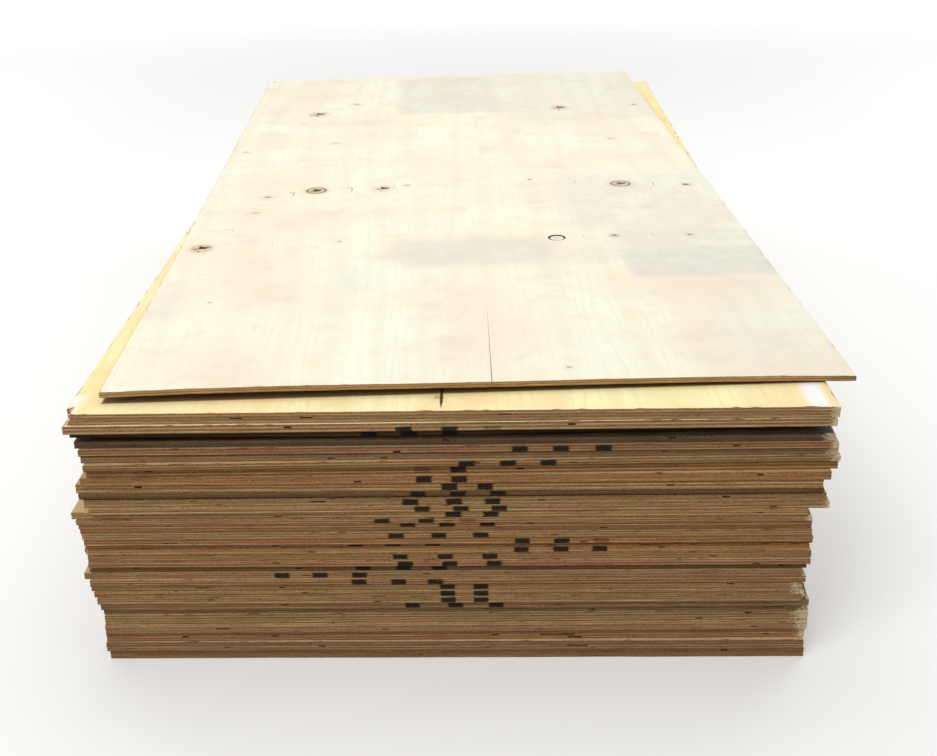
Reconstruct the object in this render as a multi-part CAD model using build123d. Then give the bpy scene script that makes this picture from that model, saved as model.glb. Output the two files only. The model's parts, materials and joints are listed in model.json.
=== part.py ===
from build123d import *
import os

# A stack of plywood sheets, four feet wide and eight feet long, laid flat in a loose pile.
# The origin is at the middle of the pile's footprint, on the floor.
# +Y runs along the sheets' length, away from the front of the pile, and +Z is up.

# Sheet size, mm
sheet_width = 1219.2
sheet_length = 2438.4

# Thickness of each grade of sheet, mm
three_quarter = 18.9
five_eighths = 15.8
half_inch = 12.5
three_eighths = 9.5
quarter_inch = 6.4

# One veneer of a sheet, mm: what a knot hole or a check goes through
face_veneer = 2.0

# A curved sheet lies this far clear of the flat sheets that it bears on
seat_clearance = 0.3

# The sprung sheet near the top is cupped: its long edges stand higher than its middle
sprung_cup = 6.5
cup_share_halfway = 0.25

# Heights of the top sheet's underside above its seat, from its left long edge to its right one
lift_at_front = (10.5, 12.5, 9.0, 7.0, 0.0)
lift_near_front = (1.5, 1.5, 1.0, 0.5, 0.0)
lift_near_back = (0.0, 0.5, 0.5, 1.0, 1.5)
lift_at_back = (0.0, 3.5, 5.5, 7.0, 8.5)
near_front = 620.0
near_back = 1820.0

# The open knot hole in the top sheet's face: a loose knot left a crescent round its core
knot_hole_across = 196.0
knot_hole_along = 724.0
knot_hole_diameter = 38.0
knot_core_diameter = 29.0
knot_core_shift = 3.5

# The check in the top sheet's face veneer, a long crack that starts at its front edge
check_across = 17.0
check_length = 340.0
check_lean = 9.0
check_width = 3.0

# Core voids, the gaps between core veneers that show as slots in a sheet's front edge
void_depth = 14.0
void_height_share = 0.22
void_middle_share = 0.45

# A corner's break: the share of its reach that the lowest veneer loses; the top one loses all of it
least_break_share = 0.55

# The two points between the ends of a break, as shares of its reach across and along
break_knees = [(0.8, 0.35), (0.35, 0.6)]

# How far a cutting shape runs past the wood that it cuts
overcut = 3.0

# The lay-up from the floor up: thickness, middle of the front edge across and along, turn in degrees
lay_up = [
    (three_quarter, 3, 4, -0.26),
    (three_quarter, 0, 0, -0.23),
    (three_quarter, 2, 6, 0.05),
    (three_quarter, 4, 3, 0.07),
    (three_quarter, 5, 5, 0.09),
    (half_inch, 4, 8, 0.00),
    (half_inch, 2, 3, -0.02),
    (half_inch, -2, 0, -0.18),
    (half_inch, -6, 2, -0.20),
    (half_inch, -10, 4, -0.19),
    (half_inch, -9, 1, -0.05),
    (half_inch, -18, 3, -0.30),
    (half_inch, -9, 7, -0.10),
    (half_inch, -6, -1, -0.25),
    (half_inch, -5, 2, -0.10),
    (half_inch, -9, 3, -0.04),
    (quarter_inch, -5, 5, 0.10),
    (half_inch, -6, 0, -0.09),
    (half_inch, -9, -1, -0.05),
    (three_eighths, -10, 2, -0.06),
    (three_eighths, -11, 0, -0.15),
    (three_eighths, -13, -3, -0.20),
    (half_inch, -20, -1, -0.30),
    (half_inch, 14, -4, 0.25),
    (five_eighths, 7, -2, 0.10),
    (half_inch, 1, -4, 0.08),
    (five_eighths, -2, -5, -0.15),
    (five_eighths, 9, -8, 0.07),
    (five_eighths, 20, -3, 0.40),
    (half_inch, 21, -11, 0.67),
    (half_inch, 17, -5, 0.45),
    (half_inch, 15, -9, 0.25),
    (half_inch, 9, -4, 0.18),
    (five_eighths, 5, 2, 0.90),
    (five_eighths, 3, -26, 0.27),
    (three_quarter, 6, -22, 0.13),
    (three_eighths, 54.7, 41.7, 2.67),
]
top_sheet = len(lay_up)
upper_sheet = top_sheet - 1
sprung_sheet = top_sheet - 3

# Core voids seen in the front edges: sheet, place across it, length
core_voids = [
    (2, -231, 18), (2, 217, 29), (3, -473, 10), (3, -313, 10), (3, 69, 7), (3, 168, 26), (3, 203, 24),
    (4, -402, 22), (6, 545, 40), (10, -420, 18), (13, 565, 18), (18, -465, 16), (23, 528, 16),
    (25, 148, 8), (upper_sheet, -337, 12), (upper_sheet, -228, 14),
]

# Broken corners: sheet, side (-1 left, 1 right), end (-1 front, 1 back), reach across and along
broken_corners = [
    (5, 1, -1, 12, 26), (6, 1, -1, 15, 22), (8, 1, -1, 26, 38), (9, 1, -1, 30, 34), (10, 1, -1, 24, 30),
    (13, -1, -1, 14, 12), (16, -1, -1, 16, 14), (19, -1, -1, 13, 14),
    (upper_sheet, -1, -1, 24, 56), (top_sheet, -1, 1, 34, 52), (top_sheet, 1, 1, 30, 16),
]


def plies_of(thickness):
    # How many veneers a sheet of this thickness has
    if thickness <= quarter_inch:
        return 3
    return 7 if thickness >= three_quarter else 5


def flat_sheet(thickness):
    # A plain sheet, with its origin at the middle of its front edge
    middle = Pos(0, sheet_length / 2, thickness / 2)
    return middle * Box(sheet_width, sheet_length, thickness)


def cross_section(along, heights, thickness):
    # A sheet's section across its width, drawn on heights spaced evenly from left to right
    step = sheet_width / (len(heights) - 1)
    lower = [(i * step - sheet_width / 2, height) for i, height in enumerate(heights)]
    upper = [(across, height + thickness) for across, height in lower]
    plane = Plane((0, along, 0), x_dir=(1, 0, 0), z_dir=(0, -1, 0))
    outline = [Spline(*lower), Line(lower[-1], upper[-1]), Spline(*upper), Line(upper[0], lower[0])]
    return plane * make_face(outline)


def warped_sheet(sections, thickness):
    # A sheet whose surface runs straight from each of its sections to the next
    faces = [cross_section(along, heights, thickness) for along, heights in sections]
    return loft(faces, ruled=True)


def sprung(thickness):
    halfway = sprung_cup * cup_share_halfway
    cup = (sprung_cup, halfway, 0, halfway, sprung_cup)
    return warped_sheet([(0, cup), (sheet_length, cup)], thickness)


def top_of_stack(thickness):
    sections = [(0, lift_at_front), (near_front, lift_near_front)]
    sections += [(near_back, lift_near_back), (sheet_length, lift_at_back)]
    return warped_sheet(sections, thickness)


def corner_lift(number, side, end):
    # How high a corner's underside stands above its seat; only the top sheet's corners do
    if number != top_sheet:
        return 0.0
    lifts = lift_at_back if end > 0 else lift_at_front
    return lifts[-1] if side > 0 else lifts[0]


def broken_corner(thickness, side, end, reach_across, reach_along):
    # What breaks off a corner: each veneer gives way a little further in than the one below
    corner_x = side * sheet_width / 2
    corner_y = sheet_length if end > 0 else 0
    beyond_x = corner_x + side * overcut
    beyond_y = corner_y + end * overcut
    last = plies_of(thickness) - 1
    layer = thickness / (last + 1)
    pieces = []
    for ply in range(last + 1):
        share = least_break_share + (1 - least_break_share) * ply / last
        across = side * reach_across * share
        along = end * reach_along * share
        knees = [(corner_x - across * u, corner_y - along * v) for u, v in break_knees]
        points = [(beyond_x, beyond_y), (corner_x - across, beyond_y), *knees, (beyond_x, corner_y - along)]
        outline = make_face(Polyline(*points, close=True))
        bottom = ply * layer - (overcut if ply == 0 else 0)
        top = (ply + 1) * layer + (overcut if ply == last else 0)
        pieces.append(Pos(0, 0, bottom) * extrude(outline, top - bottom, dir=(0, 0, 1)))
    return pieces


def core_void(thickness, across, length):
    # A slot in the core veneer, open at the front edge
    slot = Box(length, void_depth + overcut, thickness * void_height_share)
    return Pos(across, (void_depth - overcut) / 2, thickness * void_middle_share) * slot


def knot_hole(thickness):
    # The crescent between a loose knot's core and the rim of its hole, one veneer deep
    depth = face_veneer + overcut
    hole = Cylinder(knot_hole_diameter / 2, depth)
    core = Pos(0, -knot_core_shift, 0) * Cylinder(knot_core_diameter / 2, depth)
    middle_height = thickness + lift_near_front[3] + (overcut - face_veneer) / 2
    return Pos(knot_hole_across, knot_hole_along, middle_height) * (hole - core)


def face_check(thickness):
    # A crack one veneer deep, widest at the front edge, that runs out along the rising grain
    left = (check_across - check_width / 2, -overcut)
    right = (check_across + check_width / 2, -overcut)
    tip = (check_across + check_lean, check_length)
    front = lift_at_front[2]
    fall = (front - lift_near_front[2]) / near_front
    floor_of_crack = Plane((0, 0, thickness + front - face_veneer), x_dir=(1, 0, 0), z_dir=(0, fall, 1))
    crack = make_face(Polyline(left, right, tip, close=True))
    return extrude(floor_of_crack * crack, face_veneer + overcut)


def make_sheet(number, thickness):
    # One sheet in its own frame, with the damage that it shows
    if number == top_sheet:
        sheet = top_of_stack(thickness) - knot_hole(thickness) - face_check(thickness)
    elif number == sprung_sheet:
        sheet = sprung(thickness)
    else:
        sheet = flat_sheet(thickness)
    for place, side, end, across, along in broken_corners:
        if place == number:
            lift = Pos(0, 0, corner_lift(number, side, end))
            for piece in broken_corner(thickness, side, end, across, along):
                sheet -= lift * piece
    for place, across, length in core_voids:
        if place == number:
            sheet -= core_void(thickness, across, length)
    return sheet


os.makedirs("parts", exist_ok=True)
floor = 0.0
for number, (thickness, across, along, turn) in enumerate(lay_up, start=1):
    bowed = number in (top_sheet, sprung_sheet)
    if bowed:
        floor += seat_clearance
    place = Pos(across, along - sheet_length / 2, floor) * Rot(0, 0, turn)
    sheet = place * make_sheet(number, thickness)
    sheet.label = f"sheet_{number:02d}"
    export_step(sheet, f"parts/{sheet.label}.step")
    floor += thickness
    if number == sprung_sheet:
        floor += sprung_cup + seat_clearance
print("sheets", len(lay_up), "height of the top sheet's seat and thickness", round(floor, 1))
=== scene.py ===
# %% [markdown]
# # Dressing a stack of plywood
# The real thing is a hand-made pile of thirty-seven loose plywood sheets, each four feet by eight.
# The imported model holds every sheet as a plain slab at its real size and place. This lesson gives
# each slab what a slab lacks: veneers that show one by one round its edges, saw wander, chips,
# gaps in the core, torn corners, and the colours of rotary-cut softwood.

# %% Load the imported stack
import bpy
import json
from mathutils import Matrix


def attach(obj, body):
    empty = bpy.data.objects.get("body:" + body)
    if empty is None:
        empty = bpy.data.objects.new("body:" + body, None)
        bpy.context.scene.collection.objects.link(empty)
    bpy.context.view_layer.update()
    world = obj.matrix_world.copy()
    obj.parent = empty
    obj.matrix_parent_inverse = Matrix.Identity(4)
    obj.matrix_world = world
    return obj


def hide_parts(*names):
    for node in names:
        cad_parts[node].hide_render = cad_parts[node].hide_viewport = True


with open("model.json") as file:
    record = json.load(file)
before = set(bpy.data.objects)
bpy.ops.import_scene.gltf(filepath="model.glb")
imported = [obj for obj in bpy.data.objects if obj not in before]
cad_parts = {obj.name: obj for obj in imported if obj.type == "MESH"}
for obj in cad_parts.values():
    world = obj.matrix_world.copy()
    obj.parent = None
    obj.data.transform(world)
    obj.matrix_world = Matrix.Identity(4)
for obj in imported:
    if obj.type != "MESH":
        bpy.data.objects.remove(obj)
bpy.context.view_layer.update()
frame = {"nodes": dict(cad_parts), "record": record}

# %% Bring in what the cells use
import json
import math
import random

import bpy
import numpy as np
from mathutils import Matrix, Vector, noise
from mathutils.bvhtree import BVHTree

MM = 0.001
UP = Vector((0, 0, 1))

# %% [markdown]
# ## Where each sheet lies
# Nothing here is measured twice. A sheet's turn, size and place are read from its own slab: the
# largest face of its right-hand long side gives the turn, and once its points are turned back, the
# lowest and highest of them give the width, the length and the middle of the front edge.

# %% Read one slab
def read_sheet(name):
    """Where a sheet lies and how big it is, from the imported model's own mesh"""
    mesh = frame["nodes"][name].data
    side = max((face for face in mesh.polygons if face.normal.x > 0.99), key=lambda face: face.area)
    turn = math.atan2(side.normal.y, side.normal.x)
    turned, turned_back = Matrix.Rotation(turn, 3, "Z"), Matrix.Rotation(-turn, 3, "Z")
    points = [turned_back @ vertex.co for vertex in mesh.vertices]
    low = [min(point[axis] for point in points) for axis in range(3)]
    high = [max(point[axis] for point in points) for axis in range(3)]
    front = turned @ Vector(((low[0] + high[0]) / 2, low[1], low[2]))
    surface = BVHTree.FromPolygons([v.co for v in mesh.vertices], [f.vertices for f in mesh.polygons])
    middle = front + turned @ Vector((0, (high[1] - low[1]) / 2, 0))
    over = surface.ray_cast(middle + UP, -UP)[0].z
    under = surface.ray_cast(middle - UP, UP)[0].z
    return {
        "name": name, "number": int(name.split("_")[1]), "turn": turn, "front": front,
        "width": high[0] - low[0], "length": high[1] - low[1], "thickness": over - under,
        "bowed": high[2] - low[2] > over - under + MM, "surface": surface,
        "points": [(p.x - (low[0] + high[0]) / 2, p.y - low[1], p.z - low[2]) for p in points],
    }


sheets = [read_sheet(name) for name in sorted(frame["nodes"])]
top_sheet = sheets[-1]
upper_sheet = sheets[-2]
for sheet in (sheets[0], upper_sheet, top_sheet):
    print(sheet["name"], "turned", round(math.degrees(sheet["turn"]), 2), "degrees,",
          round(sheet["thickness"] / MM, 1), "mm thick")

# %% [markdown]
# ## What a slab says about its damage
# Two kinds of damage are already cut into the slabs: broken corners and slots in the core, where two
# core veneers don't meet. They are found again from the slab's own points, so that the dressed sheet
# breaks and gapes in the same places. A slot is known by the points of its floor, which lies some way
# in from the front edge.

# %% Find the broken corners and the core gaps
break_grow = 1.2          # the dressed break lies a little further in than the slab's own
least_break = 2 * MM
slot_floor = (5 * MM, 30 * MM)
slots_within = 0.58       # metres from the sheet's middle line


def broken_corners(sheet):
    """Each corner that the slab lacks: side, end, and how far the break runs across and along"""
    found = []
    half, length = sheet["width"] / 2, sheet["length"]
    for side in (-1, 1):
        for end, edge in ((-1, 0.0), (1, length)):
            across = min(half - side * u for u, v, w in sheet["points"] if abs(v - edge) < MM)
            along = min(abs(v - edge) for u, v, w in sheet["points"] if half - side * u < MM)
            if across > least_break:
                found.append((side, end, across * break_grow, along * break_grow))
    return found


def front_gaps(sheet):
    """The slots in the front edge, as pairs of left and right ends"""
    near, far = slot_floor
    ends = sorted({round(u, 4) for u, v, w in sheet["points"] if near < v < far and abs(u) < slots_within})
    return list(zip(ends[::2], ends[1::2]))


for sheet in sheets:
    sheet["corners"] = broken_corners(sheet)
    sheet["gaps"] = [] if sheet is top_sheet else front_gaps(sheet)
for kind in ("corners", "gaps"):
    print(kind, sum(len(sheet[kind]) for sheet in sheets))

# %% [markdown]
# ## Working by hand, from a script
# Blender's operators act on whatever is selected, so three helpers do the clicking: one starts from
# nothing selected, one takes a single piece in hand, and the last picks out edges, faces or points of
# it by their place and opens edit mode.

# %% Helpers for selecting
def go_to(mode):
    """Change between object mode and edit mode"""
    bpy.ops.object.mode_set(mode=mode)


def nothing_selected():
    """Leave edit mode and let go of everything"""
    if bpy.context.mode != "OBJECT":
        go_to("OBJECT")
    bpy.ops.object.select_all(action="DESELECT")


def take_in_hand(piece):
    """Select one piece alone and make it the active one"""
    nothing_selected()
    piece.select_set(True)
    bpy.context.view_layer.objects.active = piece


def pick(piece, kind, wanted):
    """Open edit mode on a piece with only its wanted vertices, edges or polygons selected"""
    go_to("OBJECT")
    mesh = piece.data
    for part in (mesh.vertices, mesh.edges, mesh.polygons):
        part.foreach_set("select", np.zeros(len(part), bool))
    chosen = [item for item in getattr(mesh, kind) if wanted(item)]
    for item in chosen:
        item.select = True
        if kind != "vertices":
            for index in item.vertices:
                mesh.vertices[index].select = True
    kinds = ("vertices", "edges", "polygons")
    bpy.context.tool_settings.mesh_select_mode = [name == kind for name in kinds]
    go_to("EDIT")
    return len(chosen)


# %% [markdown]
# ## How far the edges stand back
# The dressed edge stays a little inside the slab's, so that saw wander never leaves it. Some joints in
# the pile gape: there the underside starts further in. Their depths are listed by sheet, in mm.

# %% Open joints
saw_loss = 0.9 * MM
arris = 0.8 * MM          # the worn corner between a face and an edge
open_joint = {
    2: 2.0, 3: 2.4, 5: 3.0, 9: 2.0, 14: 3.4, 18: 2.4, 20: 1.8, 26: 4.0, 28: 1.8, 30: 3.0, 32: 2.4,
    34: 3.6, 35: 4.4, 36: 2.6,
}
joint_slope = 0.55        # how high an open joint gapes for each millimetre that it is deep


def foot_inset(sheet):
    """How far inside the slab the underside starts: more where the pile shows an open joint"""
    return saw_loss + max(arris, open_joint.get(sheet["number"], 0) * MM)


def foot_rise(sheet):
    """How high the slope under the edge goes"""
    return max(arris, open_joint.get(sheet["number"], 0) * MM * joint_slope)


print(len(open_joint), "open joints, up to", max(open_joint.values()), "mm deep")

# %% [markdown]
# ## The outline of one sheet
# A sheet starts as a plane at its real size. Its broken corners are cut off with bisect, and then its
# border is divided into short lengths, because a straight edge of one long face can't wander or chip.
# The face itself stays in one piece: the inside of a flat sheet needs no points at all. The top sheet
# is warped and the sprung one is cupped, so these two start from a grid, which is later draped on the
# slab's own curve. So does the sheet below the top one, whose face shows a knot.

# %% Cut a corner and divide a border
knee_across, knee_along = 0.52, 0.46      # where a break bends, as shares of its reach


def cut_corner(sheet, side, end, across, along):
    """Saw off one corner along two slanting lines, as a break rarely runs straight"""
    corner = Vector((side * sheet["width"] / 2, sheet["length"] if end > 0 else 0, 0))
    reach = corner - Vector((side * across, 0, 0))
    knee = corner - Vector((side * across * knee_across, end * along * knee_along, 0))
    root = corner - Vector((0, end * along, 0))
    for first, second in ((reach, knee), (knee, root)):
        outward = (first - second).cross(UP) * side * end
        bpy.ops.mesh.select_all(action="SELECT")
        bpy.ops.mesh.bisect(plane_co=first, plane_no=outward, clear_outer=True, threshold=1e-6)


def divide_border(piece, step, level_axis):
    """Divide the edges that keep level along one axis, or with None the slanting ones of a break"""
    verts = piece.data.vertices

    def run(edge):
        return verts[edge.vertices[1]].co - verts[edge.vertices[0]].co

    def wanted(edge):
        way = run(edge)
        if level_axis is None:
            return min(abs(way.x), abs(way.y)) > 0.1 * MM
        return way.length > 0.5 and abs(way[level_axis]) < 0.1 * MM

    if pick(piece, "edges", wanted):
        go_to("OBJECT")
        longest = max(run(edge).length for edge in piece.data.edges if wanted(edge))
        go_to("EDIT")
        bpy.ops.mesh.subdivide(number_cuts=max(1, round(longest / step) - 1))


# %% Lay the first face
end_step = 8 * MM         # length of one division on the short edges
side_step = 12 * MM       # and on the long ones
grid_step_across = 10 * MM
grid_step_along = 15 * MM


def first_face(sheet, as_grid):
    """A flat face in the shape of the sheet: a grid, or one face with a finely divided border"""
    width, length = (sheet[name] - 2 * foot_inset(sheet) for name in ("width", "length"))
    nothing_selected()
    if as_grid:
        columns, rows = round(width / grid_step_across), round(length / grid_step_along)
        bpy.ops.mesh.primitive_grid_add(x_subdivisions=columns, y_subdivisions=rows, size=1)
    else:
        bpy.ops.mesh.primitive_plane_add(size=1)
    piece = bpy.context.active_object
    piece.name = piece.data.name = f"dressed_{sheet['name']}"
    go_to("EDIT")
    bpy.ops.transform.resize(value=(width, length, 1))
    bpy.ops.transform.translate(value=(0, sheet["length"] / 2, 0))
    for corner in sheet["corners"]:
        cut_corner(sheet, *corner)
    bpy.ops.mesh.select_all(action="SELECT")
    if not as_grid:
        bpy.ops.mesh.delete(type="ONLY_FACE")
        for step, level_axis in ((end_step, 1), (side_step, 0), (end_step, None)):
            divide_border(piece, step, level_axis)
        bpy.ops.mesh.select_all(action="SELECT")
        bpy.ops.mesh.edge_face_add()
    return piece


# %% [markdown]
# ## Veneer upon veneer
# Plywood is an odd number of veneers glued with their grain crossed. Each veneer's edge is its own
# band here: the selected face is pulled up by one veneer, then by the thin glue line with a tiny
# change of size, and so on to the top. The saw leaves no two veneers quite flush, so the change is
# drawn at random for each, from a seed that is the sheet's number. The first and last bands are
# chamfered, which gives the dark line between two sheets in the pile.

# %% Build the veneers up
glue_rise = 0.3 * MM
most_shy = 0.55 * MM


def veneers_in(thickness):
    """How many veneers a sheet of this thickness is made of"""
    if thickness < 8 * MM:
        return 3
    return 7 if thickness > 17 * MM else 5


def pull_up(sheet, size, rise, inset):
    """Extrude the selected face upward, ending this far inside the slab's outline"""
    bpy.ops.mesh.extrude_region_move(TRANSFORM_OT_translate={"value": (0, 0, rise)})
    new_size = (sheet["width"] - 2 * inset, sheet["length"] - 2 * inset)
    growth = (new_size[0] / size[0], new_size[1] / size[1], 1)
    bpy.ops.transform.resize(value=growth, center_override=(0, sheet["length"] / 2, 0))
    return new_size


def build_veneers(piece, sheet):
    """Turn the flat outline into a closed slab with one band to each veneer"""
    draw = random.Random(sheet["number"])
    count = veneers_in(sheet["thickness"])
    veneer = sheet["thickness"] / count
    size = [sheet[name] - 2 * foot_inset(sheet) for name in ("width", "length")]
    inset, foot = saw_loss, foot_rise(sheet)
    size = pull_up(sheet, size, foot, inset)
    for number in range(count):
        first, last = number == 0, number == count - 1
        height = veneer - (foot if first else glue_rise / 2) - (arris if last else glue_rise / 2)
        size = pull_up(sheet, size, height, inset)
        if not last:
            inset = saw_loss + draw.uniform(0, most_shy)
            size = pull_up(sheet, size, glue_rise, inset)
    pull_up(sheet, size, arris, inset + arris)
    bpy.ops.mesh.select_all(action="SELECT")
    bpy.ops.mesh.normals_make_consistent(inside=False)
    go_to("OBJECT")


print(sum(veneers_in(sheet["thickness"]) for sheet in sheets), "veneers in all")

# %% [markdown]
# ## Gaps in the core
# Where two core veneers were laid with a gap between them, the cut edge shows a dark slot. The faces
# of the middle band are picked between the slot's ends and pushed inward. The slab has the large
# ones on the front edge; smaller ones are drawn at random all round, as every such sheet has them.

# %% Open the core gaps
gap_depth = 14 * MM
small_gaps_a_metre = 1.6
small_gap_half = (3, 9)   # mm, from the smallest to the largest
edges_of_sheet = {"front": (1, 0), "back": (1, 1), "left": (0, 0), "right": (0, 1)}


def on_edge(sheet, place, edge, reach=2.5 * MM):
    """Whether a point lies on one of the sheet's four edges"""
    axis, far = edges_of_sheet[edge]
    if axis == 1:
        return abs(place.y - far * sheet["length"]) < reach
    return abs(place.x - (far - 0.5) * sheet["width"]) < reach


def open_gaps(piece, sheet):
    """Push slots into the core veneers, on all four edges"""
    draw = random.Random(100 + sheet["number"])
    count = veneers_in(sheet["thickness"])
    veneer = sheet["thickness"] / count
    for edge, (axis, far) in edges_of_sheet.items():
        along_edge = 1 - axis
        reach = sheet["width"] if axis == 1 else sheet["length"]
        start = -reach / 2 if axis == 1 else 0
        slots = [(low, high, count // 2) for low, high in sheet["gaps"]] if edge == "front" else []
        for _ in range(round(small_gaps_a_metre * reach)):
            middle = start + draw.uniform(0.04, 0.96) * reach
            half = draw.uniform(*small_gap_half) * MM
            slots.append((middle - half, middle + half, draw.randrange(1, count - 1)))

        def wanted(face):
            place = face.center
            if abs(face.normal[axis]) < 0.9 or not on_edge(sheet, place, edge):
                return False
            level = int(place.z / veneer)
            return any(low < place[along_edge] < high and level == ply for low, high, ply in slots)

        if pick(piece, "polygons", wanted):
            inward = [0, 0, 0]
            inward[axis] = gap_depth * (1 - 2 * far)
            bpy.ops.mesh.extrude_region_move(TRANSFORM_OT_translate={"value": inward})
    go_to("OBJECT")


# %% [markdown]
# ## Torn corners
# A dropped sheet breaks at its corner, and each veneer gives way a little further in than the one
# below, so the break goes up like a flight of narrow stairs, with slivers left standing. The stairs
# are made by moving all the points above each glue line inward, and the slivers are pulled out of
# the break's own faces and drawn to a point.

# %% Tear a corner
sliver_count = 5
sliver_length = (4, 9)            # mm
step_share = (0.04, 0.11)         # how far one veneer stands back, as a share of the break's reach
clear_of_edges = saw_loss + most_shy + arris + 0.4 * MM


def near_corner(sheet, place, side, end, across, along, slack=3 * MM):
    """Whether a point is on a break, well inside the sheet's straight edges"""
    u = sheet["width"] / 2 - side * place.x
    v = place.y if end < 0 else sheet["length"] - place.y
    return clear_of_edges < u < across + slack and clear_of_edges < v < along + slack


def room_outward(sheet, place, outward):
    """How far a point can go this way before it leaves the slab's outline"""
    margin = saw_loss + 0.6 * MM
    to_side = (sheet["width"] / 2 - margin - abs(place.x)) / abs(outward.x)
    left = sheet["length"] - margin - place.y if outward.y > 0 else place.y - margin
    return max(0.0, min(to_side, left / abs(outward.y)))


def tear_corner(piece, sheet, side, end, across, along):
    """Step the veneers of one broken corner back and pull slivers out of it"""
    draw = random.Random(round(1e5 * across) + sheet["number"])
    count = veneers_in(sheet["thickness"])
    veneer = sheet["thickness"] / count
    break_line = (across, along)
    for level in range(1, count):
        step = Vector((-side * across, -end * along, 0)) * draw.uniform(*step_share)

        def above(vertex):
            return vertex.co.z > level * veneer and near_corner(sheet, vertex.co, side, end, *break_line)

        if pick(piece, "vertices", above):
            bpy.ops.transform.translate(value=step)
    outward = Vector((side * along, end * across, 0)).normalized()
    go_to("OBJECT")
    middles = [
        face.center.copy() for face in piece.data.polygons
        if abs(face.normal.z) < 0.5 and near_corner(sheet, face.center, side, end, *break_line)
    ]
    middles.sort(key=lambda middle: [round(value, 5) for value in (middle.z, middle.x, middle.y)])
    for middle in draw.sample(middles, min(sliver_count, len(middles))):
        reach = outward * min(draw.uniform(*sliver_length) * MM, room_outward(sheet, middle, outward))
        pick(piece, "polygons", lambda face: (face.center - middle).length < 1e-6)
        for share, left in ((0.6, 0.55), (0.4, 0.12)):
            bpy.ops.mesh.extrude_region_move(TRANSFORM_OT_translate={"value": reach * share})
            middle = middle + reach * share
            bpy.ops.transform.resize(value=(left, left, left), center_override=middle)
        go_to("OBJECT")


# %% [markdown]
# ## Marks for the paint
# Materials can read values that are stored on the mesh. Each sheet carries its own place, in metres
# across, along and up from its front edge, so that the grain follows the sheet however it is turned.
# It also carries the height counted in veneers, whether a face is on a long side, where wood is torn,
# and how far a point is from the nearest stencilled bar on the front.

# %% Store values on a mesh
def store(piece, domain, **values_by_name):
    """Named numbers, vectors or colours, one for each point or face of a piece"""
    for name, values in values_by_name.items():
        values = np.asarray(values, np.float32)
        width = values.shape[1] if values.ndim == 2 else 1
        kind, key = {1: ("FLOAT", "value"), 3: ("FLOAT_VECTOR", "vector"), 4: ("FLOAT_COLOR", "color")}[width]
        piece.data.attributes.new(name, kind, domain).data.foreach_set(key, values.ravel())


def linear(code):
    """An sRGB colour code as the linear colour that Blender's sockets hold"""
    parts = [int(code[i:i + 2], 16) / 255 for i in (1, 3, 5)]
    return [p / 12.92 if p <= 0.04045 else ((p + 0.055) / 1.055) ** 2.4 for p in parts] + [1.0]


# %% [markdown]
# Short black bars are stencilled on the front ends while the sheets lie in a neat pile, so a loose pile
# shows them out of line. Their places across each sheet are listed by the sheet's number, in mm.

# %% The black bars on the front ends
bar_places = {
    7: (-70, 4, 74), 8: (-4, 52), 9: (-1, 56), 10: (3, 60), 11: (-148, -81, -18), 12: (-270, -205, -138),
    13: (-141, -72, -11), 14: (-71, 4, 79), 15: (-80, -4, 71), 16: (128, 194, 259), 17: (-155, -91, -25),
    18: (126, 192, 258), 19: (-81, -10, 60), 21: (-59, 6, 73), 22: (-99, -26, 42), 23: (26, 88),
    24: (-59, 5, 68), 25: (-71, 1, 64), 26: (-52, 14, 79), 27: (3, 61), 28: (-49, 8), 29: (-63, -4),
    30: (9, 75, 140), 32: (100, 166, 234), 34: (-131, -66, -1), 35: (-71, 1, 69),
}
faint_bars = {18: 258, 22: 42, 29: -63, 35: 69}
faint_ink = 0.45
low_bars = {25: 0.15, 35: 0.28}      # bars that sit this share of the edge's height below its middle
front_strip = 6 * MM                 # points this near the front edge belong to it
no_bar = 1.0


def bar_distance(sheet, place):
    """How far a point of the front edge is from the middle of the nearest bar, in metres"""
    number = sheet["number"]
    if place[1] > front_strip or number not in bar_places:
        return no_bar
    return min(abs(place[0] - middle * MM) for middle in bar_places[number])


def bar_strength(sheet, place):
    """One for a full black bar, less for the few that hardly printed"""
    weak = faint_bars.get(sheet["number"])
    return faint_ink if weak is not None and abs(place[0] - weak * MM) < 30 * MM else 1.0


print(sum(len(places) for places in bar_places.values()), "bars on", len(bar_places), "sheets")

# %% [markdown]
# No two sheets of a mixed pile match. Each gets a tint that its edge colours are multiplied by, named
# for what the eye sees from a few steps away.

# %% Tints
tints = {
    "tan": ("#F0E9E0", (1, 2, 7, 10, 12)),
    "reddish": ("#F0DDD2", (3, 11, 14, 17, 20, 32)),
    "pale": ("#FFFBF0", (4, 8, 22, 24, 35, 36, 37)),
    "greenish": ("#F2F0DC", (5, 25)),
    "grey": ("#D6D3D0", (6, 31)),
    "bright": ("#FFF8E6", (9, 15, 19, 23, 27, 30)),
    "orange": ("#FFECD6", (16, 18, 21, 28, 29)),
    "dark": ("#C6BDB5", (13,)),
    "smoky": ("#C0B2AC", (26,)),
    # painted shade: sheet 33's slate tint is partly shade, and sheet 34's deep one is all shade, under the
    # overhang of the sheets above
    "slate_and_shade": ("#A9A9B2", (33,)),
    "deep_shade": ("#857C76", (34,)),
}
tint_of_sheet = {number: code for code, numbers in tints.values() for number in numbers}
print(len(tints), "tints for", len(tint_of_sheet), "sheets")
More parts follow.
